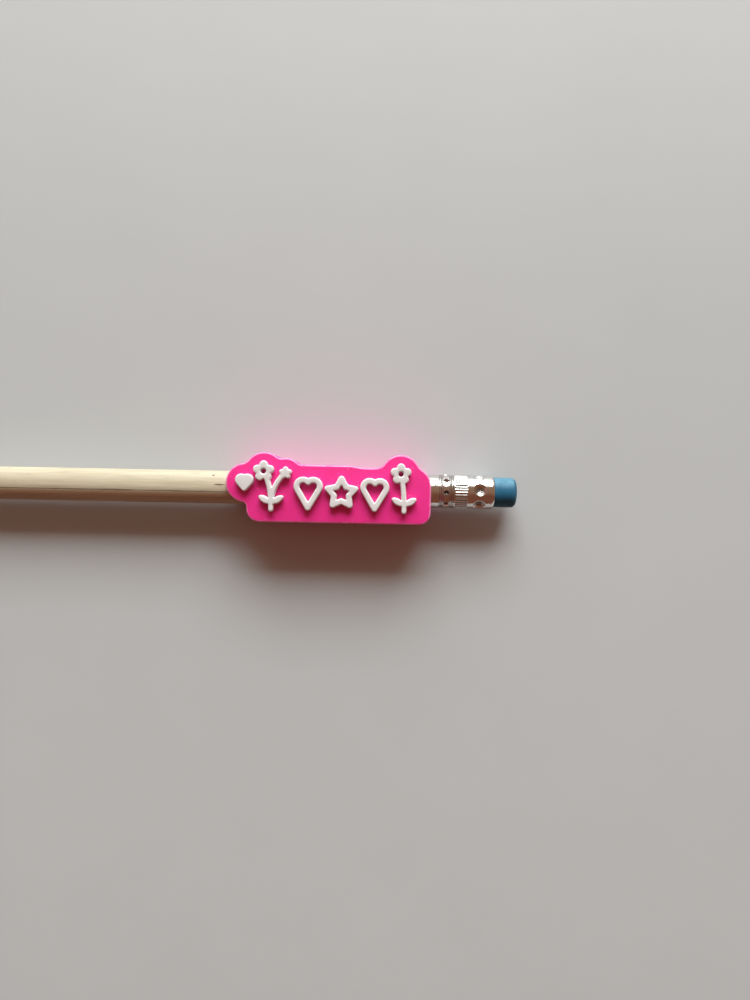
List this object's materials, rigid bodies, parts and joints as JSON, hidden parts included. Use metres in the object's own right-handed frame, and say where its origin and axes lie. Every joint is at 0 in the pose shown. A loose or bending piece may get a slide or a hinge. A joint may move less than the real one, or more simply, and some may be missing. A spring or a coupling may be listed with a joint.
{
  "type": "pencil with slide-on topper",
  "caption": "Round wooden pencil with a crimped metal ferrule and eraser, carrying a thick printed plate with raised flowers, hearts and a star that slides along the barrel.",
  "frame": {"origin": "middle of the topper's flat back, under the pencil's axis", "axes": "+X along the pencil to the eraser, +Y across the plate to its lobed edge, +Z out of the decorated face"},
  "size_m": [0.1901, 0.0151, 0.0125],
  "materials": {
    "wood": "bare sanded light wood with fine lengthwise grain",
    "lead": "graphite and clay, dull metallic sheen",
    "ferrule_metal": "bright drawn tube, crimped",
    "eraser_rubber": "matte",
    "pink_print": "hot pink printed plastic, satin, fine layer lines",
    "white_print": "white printed plastic, satin, fine layer lines"
  },
  "bodies": {
    "pencil": {"barrel_slat_rear": "wood", "barrel_slat_front": "wood", "graphite_core": "lead", "ferrule": "ferrule_metal", "eraser": "eraser_rubber"},
    "topper": {"topper_block": "pink_print", "relief_charm": "white_print", "relief_left_flower": "white_print", "relief_left_heart": "white_print", "relief_star": "white_print", "relief_right_heart": "white_print", "relief_right_flower": "white_print"}
  },
  "joints": [
    {"name": "topper_slide", "type": "slide", "parent": "pencil", "child": "topper", "axis": [1, 0, 0], "range_m": [-0.105, 0.019]}
  ]
}
